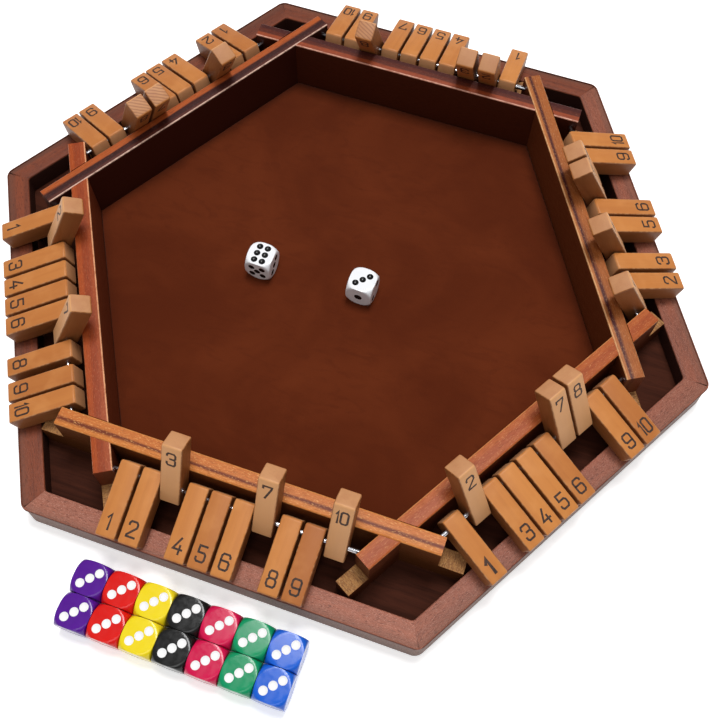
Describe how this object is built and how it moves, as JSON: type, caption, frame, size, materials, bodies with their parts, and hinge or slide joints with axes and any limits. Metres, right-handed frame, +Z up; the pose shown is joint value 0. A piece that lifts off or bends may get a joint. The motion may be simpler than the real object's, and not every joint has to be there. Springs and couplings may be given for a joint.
{
  "type": "shut the box game",
  "caption": "Hexagonal wooden shut the box board for six players, with rows of flip-down number tiles on steel rods, a felt play area and dice.",
  "frame": {"origin": "centre of the flat underside of the base board", "axes": "+Z up out of the play area, -Y towards the front side where the players' dice lie, +X to the right as seen from that side, towards a corner of the hexagon"},
  "size_m": [0.3982, 0.3904, 0.062],
  "materials": {
    "board_wood": "stained satin varnish",
    "rail_wood": "stained glossy varnish",
    "tile_wood": "light satin varnish with dark numbers",
    "floor_wood": "dark stain",
    "felt": "brown felt",
    "steel": "bright steel",
    "white_plastic": "gloss white with black pips",
    "coloured_plastic": "gloss in seven colours with white pips"
  },
  "bodies": {
    "board": {"outer_frame": "board_wood", "base_board": "floor_wood", "felt_mat": "felt", "rail_front": "rail_wood", "rail_front_right": "rail_wood", "rail_back_right": "rail_wood", "rail_back": "rail_wood", "rail_back_left": "rail_wood", "rail_front_left": "rail_wood", "rod_front": "steel", "rod_front_right": "steel", "rod_back_right": "steel", "rod_back": "steel", "rod_back_left": "steel", "rod_front_left": "steel"},
    "tiles_front_1_2": {"tiles_front_1_2": "tile_wood"},
    "tile_front_3": {"tile_front_3": "tile_wood"},
    "tiles_front_4_5": {"tiles_front_4_5": "tile_wood"},
    "tile_front_6": {"tile_front_6": "tile_wood"},
    "tile_front_7": {"tile_front_7": "tile_wood"},
    "tiles_front_8_9": {"tiles_front_8_9": "tile_wood"},
    "tile_front_10": {"tile_front_10": "tile_wood"},
    "tile_front_right_1": {"tile_front_right_1": "tile_wood"},
    "tile_front_right_2": {"tile_front_right_2": "tile_wood"},
    "tiles_front_right_3_4": {"tiles_front_right_3_4": "tile_wood"},
    "tiles_front_right_5_6": {"tiles_front_right_5_6": "tile_wood"},
    "tile_front_right_7": {"tile_front_right_7": "tile_wood"},
    "tile_front_right_8": {"tile_front_right_8": "tile_wood"},
    "tiles_front_right_9_10": {"tiles_front_right_9_10": "tile_wood"},
    "tile_back_right_1": {"tile_back_right_1": "tile_wood"},
    "tiles_back_right_2_3": {"tiles_back_right_2_3": "tile_wood"},
    "tile_back_right_4": {"tile_back_right_4": "tile_wood"},
    "tiles_back_right_5_6": {"tiles_back_right_5_6": "tile_wood"},
    "tile_back_right_7": {"tile_back_right_7": "tile_wood"},
    "tile_back_right_8": {"tile_back_right_8": "tile_wood"},
    "tiles_back_right_9_10": {"tiles_back_right_9_10": "tile_wood"},
    "tile_back_1": {"tile_back_1": "tile_wood"},
    "tile_back_2": {"tile_back_2": "tile_wood"},
    "tile_back_3": {"tile_back_3": "tile_wood"},
    "tiles_back_4_5": {"tiles_back_4_5": "tile_wood"},
    "tiles_back_6_7": {"tiles_back_6_7": "tile_wood"},
    "tile_back_8": {"tile_back_8": "tile_wood"},
    "tiles_back_9_10": {"tiles_back_9_10": "tile_wood"},
    "tiles_back_left_1_2": {"tiles_back_left_1_2": "tile_wood"},
    "tile_back_left_3": {"tile_back_left_3": "tile_wood"},
    "tiles_back_left_4_5": {"tiles_back_left_4_5": "tile_wood"},
    "tile_back_left_6": {"tile_back_left_6": "tile_wood"},
    "tile_back_left_7": {"tile_back_left_7": "tile_wood"},
    "tile_back_left_8": {"tile_back_left_8": "tile_wood"},
    "tiles_back_left_9_10": {"tiles_back_left_9_10": "tile_wood"},
    "tile_front_left_1": {"tile_front_left_1": "tile_wood"},
    "tile_front_left_2": {"tile_front_left_2": "tile_wood"},
    "tiles_front_left_3_4": {"tiles_front_left_3_4": "tile_wood"},
    "tiles_front_left_5_6": {"tiles_front_left_5_6": "tile_wood"},
    "tile_front_left_7": {"tile_front_left_7": "tile_wood"},
    "tiles_front_left_8_9": {"tiles_front_left_8_9": "tile_wood"},
    "tile_front_left_10": {"tile_front_left_10": "tile_wood"},
    "white_die_left": {"white_die_left": "white_plastic"},
    "white_die_right": {"white_die_right": "white_plastic"},
    "player_dice": {"player_dice": "coloured_plastic"}
  },
  "joints": [
    {"name": "flip_front_1_2", "type": "hinge", "parent": "board", "child": "tiles_front_1_2", "pos_m": [-0.04735, -0.14297, 0.0322], "axis": [-1, 0, 0], "range_deg": [0, 134.07]},
    {"name": "flip_front_3", "type": "hinge", "parent": "board", "child": "tile_front_3", "pos_m": [-0.03091, -0.14297, 0.0322], "axis": [-1, 0, 0], "range_deg": [-134.07, 0]},
    {"name": "flip_front_4_5", "type": "hinge", "parent": "board", "child": "tiles_front_4_5", "pos_m": [-0.01288, -0.14297, 0.0322], "axis": [-1, 0, 0], "range_deg": [0, 134.07]},
    {"name": "flip_front_6", "type": "hinge", "parent": "board", "child": "tile_front_6", "pos_m": [0.00435, -0.14297, 0.0322], "axis": [-1, 0, 0], "range_deg": [0, 134.07]},
    {"name": "flip_front_7", "type": "hinge", "parent": "board", "child": "tile_front_7", "pos_m": [0.01524, -0.14297, 0.0322], "axis": [-1, 0, 0], "range_deg": [-134.07, 0]},
    {"name": "flip_front_8_9", "type": "hinge", "parent": "board", "child": "tiles_front_8_9", "pos_m": [0.03307, -0.14297, 0.0322], "axis": [-1, 0, 0], "range_deg": [0, 134.07]},
    {"name": "flip_front_10", "type": "hinge", "parent": "board", "child": "tile_front_10", "pos_m": [0.05044, -0.14297, 0.0322], "axis": [-1, 0, 0], "range_deg": [-134.07, 0]},
    {"name": "flip_front_right_1", "type": "hinge", "parent": "board", "child": "tile_front_right_1", "pos_m": [0.0977, -0.11671, 0.0322], "axis": [-0.5, -0.866, 0], "range_deg": [0, 134.07]},
    {"name": "flip_front_right_2", "type": "hinge", "parent": "board", "child": "tile_front_right_2", "pos_m": [0.10407, -0.10567, 0.0322], "axis": [-0.5, -0.866, 0], "range_deg": [-134.07, 0]},
    {"name": "flip_front_right_3_4", "type": "hinge", "parent": "board", "child": "tiles_front_right_3_4", "pos_m": [0.11251, -0.09105, 0.0322], "axis": [-0.5, -0.866, 0], "range_deg": [0, 134.07]},
    {"name": "flip_front_right_5_6", "type": "hinge", "parent": "board", "child": "tiles_front_right_5_6", "pos_m": [0.12397, -0.07121, 0.0322], "axis": [-0.5, -0.866, 0], "range_deg": [0, 134.07]},
    {"name": "flip_front_right_7", "type": "hinge", "parent": "board", "child": "tile_front_right_7", "pos_m": [0.13258, -0.05629, 0.0322], "axis": [-0.5, -0.866, 0], "range_deg": [-134.07, 0]},
    {"name": "flip_front_right_8", "type": "hinge", "parent": "board", "child": "tile_front_right_8", "pos_m": [0.13833, -0.04634, 0.0322], "axis": [-0.5, -0.866, 0], "range_deg": [-134.07, 0]},
    {"name": "flip_front_right_9_10", "type": "hinge", "parent": "board", "child": "tiles_front_right_9_10", "pos_m": [0.14694, -0.03142, 0.0322], "axis": [-0.5, -0.866, 0], "range_deg": [0, 134.07]},
    {"name": "flip_back_right_1", "type": "hinge", "parent": "board", "child": "tile_back_right_1", "pos_m": [0.15107, 0.02427, 0.0322], "axis": [0.5, -0.866, 0], "range_deg": [-134.07, 0]},
    {"name": "flip_back_right_2_3", "type": "hinge", "parent": "board", "child": "tiles_back_right_2_3", "pos_m": [0.14221, 0.03961, 0.0322], "axis": [0.5, -0.866, 0], "range_deg": [0, 134.07]},
    {"name": "flip_back_right_4", "type": "hinge", "parent": "board", "child": "tile_back_right_4", "pos_m": [0.1338, 0.05418, 0.0322], "axis": [0.5, -0.866, 0], "range_deg": [-134.07, 0]},
    {"name": "flip_back_right_5_6", "type": "hinge", "parent": "board", "child": "tiles_back_right_5_6", "pos_m": [0.12477, 0.06983, 0.0322], "axis": [0.5, -0.866, 0], "range_deg": [0, 134.07]},
    {"name": "flip_back_right_7", "type": "hinge", "parent": "board", "child": "tile_back_right_7", "pos_m": [0.11654, 0.08408, 0.0322], "axis": [0.5, -0.866, 0], "range_deg": [-134.07, 0]},
    {"name": "flip_back_right_8", "type": "hinge", "parent": "board", "child": "tile_back_right_8", "pos_m": [0.1109, 0.09385, 0.0322], "axis": [0.5, -0.866, 0], "range_deg": [-134.07, 0]},
    {"name": "flip_back_right_9_10", "type": "hinge", "parent": "board", "child": "tiles_back_right_9_10", "pos_m": [0.10197, 0.10932, 0.0322], "axis": [0.5, -0.866, 0], "range_deg": [0, 134.07]},
    {"name": "flip_back_1", "type": "hinge", "parent": "board", "child": "tile_back_1", "pos_m": [0.05144, 0.14297, 0.0322], "axis": [1, 0, 0], "range_deg": [0, 134.07]},
    {"name": "flip_back_2", "type": "hinge", "parent": "board", "child": "tile_back_2", "pos_m": [0.04079, 0.14297, 0.0322], "axis": [1, 0, 0], "range_deg": [-134.07, 0]},
    {"name": "flip_back_3", "type": "hinge", "parent": "board", "child": "tile_back_3", "pos_m": [0.02832, 0.14297, 0.0322], "axis": [1, 0, 0], "range_deg": [-134.07, 0]},
    {"name": "flip_back_4_5", "type": "hinge", "parent": "board", "child": "tiles_back_4_5", "pos_m": [0.00969, 0.14297, 0.0322], "axis": [1, 0, 0], "range_deg": [0, 134.07]},
    {"name": "flip_back_6_7", "type": "hinge", "parent": "board", "child": "tiles_back_6_7", "pos_m": [-0.01329, 0.14297, 0.0322], "axis": [1, 0, 0], "range_deg": [0, 134.07]},
    {"name": "flip_back_8", "type": "hinge", "parent": "board", "child": "tile_back_8", "pos_m": [-0.03052, 0.14297, 0.0322], "axis": [1, 0, 0], "range_deg": [-134.07, 0]},
    {"name": "flip_back_9_10", "type": "hinge", "parent": "board", "child": "tiles_back_9_10", "pos_m": [-0.04775, 0.14297, 0.0322], "axis": [1, 0, 0], "range_deg": [0, 134.07]},
    {"name": "flip_back_left_1_2", "type": "hinge", "parent": "board", "child": "tiles_back_left_1_2", "pos_m": [-0.10118, 0.11068, 0.0322], "axis": [0.5, 0.866, 0], "range_deg": [0, 134.07]},
    {"name": "flip_back_left_3", "type": "hinge", "parent": "board", "child": "tile_back_left_3", "pos_m": [-0.11064, 0.0943, 0.0322], "axis": [0.5, 0.866, 0], "range_deg": [-134.07, 0]},
    {"name": "flip_back_left_4_5", "type": "hinge", "parent": "board", "child": "tiles_back_left_4_5", "pos_m": [-0.11931, 0.07928, 0.0322], "axis": [0.5, 0.866, 0], "range_deg": [0, 134.07]},
    {"name": "flip_back_left_6", "type": "hinge", "parent": "board", "child": "tile_back_left_6", "pos_m": [-0.12752, 0.06506, 0.0322], "axis": [0.5, 0.866, 0], "range_deg": [0, 134.07]},
    {"name": "flip_back_left_7", "type": "hinge", "parent": "board", "child": "tile_back_left_7", "pos_m": [-0.13292, 0.05572, 0.0322], "axis": [0.5, 0.866, 0], "range_deg": [-134.07, 0]},
    {"name": "flip_back_left_8", "type": "hinge", "parent": "board", "child": "tile_back_left_8", "pos_m": [-0.13887, 0.0454, 0.0322], "axis": [0.5, 0.866, 0], "range_deg": [-134.07, 0]},
    {"name": "flip_back_left_9_10", "type": "hinge", "parent": "board", "child": "tiles_back_left_9_10", "pos_m": [-0.14817, 0.0293, 0.0322], "axis": [0.5, 0.866, 0], "range_deg": [0, 134.07]},
    {"name": "flip_front_left_1", "type": "hinge", "parent": "board", "child": "tile_front_left_1", "pos_m": [-0.15008, -0.02598, 0.0322], "axis": [-0.5, 0.866, 0], "range_deg": [0, 134.07]},
    {"name": "flip_front_left_2", "type": "hinge", "parent": "board", "child": "tile_front_left_2", "pos_m": [-0.14343, -0.03751, 0.0322], "axis": [-0.5, 0.866, 0], "range_deg": [-134.07, 0]},
    {"name": "flip_front_left_3_4", "type": "hinge", "parent": "board", "child": "tiles_front_left_3_4", "pos_m": [-0.1353, -0.05158, 0.0322], "axis": [-0.5, 0.866, 0], "range_deg": [0, 134.07]},
    {"name": "flip_front_left_5_6", "type": "hinge", "parent": "board", "child": "tiles_front_left_5_6", "pos_m": [-0.12381, -0.07148, 0.0322], "axis": [-0.5, 0.866, 0], "range_deg": [0, 134.07]},
    {"name": "flip_front_left_7", "type": "hinge", "parent": "board", "child": "tile_front_left_7", "pos_m": [-0.11478, -0.08713, 0.0322], "axis": [-0.5, 0.866, 0], "range_deg": [-134.07, 0]},
    {"name": "flip_front_left_8_9", "type": "hinge", "parent": "board", "child": "tiles_front_left_8_9", "pos_m": [-0.1058, -0.10269, 0.0322], "axis": [-0.5, 0.866, 0], "range_deg": [0, 134.07]},
    {"name": "flip_front_left_10", "type": "hinge", "parent": "board", "child": "tile_front_left_10", "pos_m": [-0.0967, -0.11844, 0.0322], "axis": [-0.5, 0.866, 0], "range_deg": [0, 134.07]},
    {"name": "lift_white_die_left", "type": "slide", "parent": "board", "child": "white_die_left", "axis": [0, 0, 1], "range_m": [0, 0.06]},
    {"name": "lift_white_die_right", "type": "slide", "parent": "board", "child": "white_die_right", "axis": [0, 0, 1], "range_m": [0, 0.06]},
    {"name": "lift_player_dice", "type": "slide", "parent": "board", "child": "player_dice", "axis": [0, 0, 1], "range_m": [0, 0.06]}
  ]
}
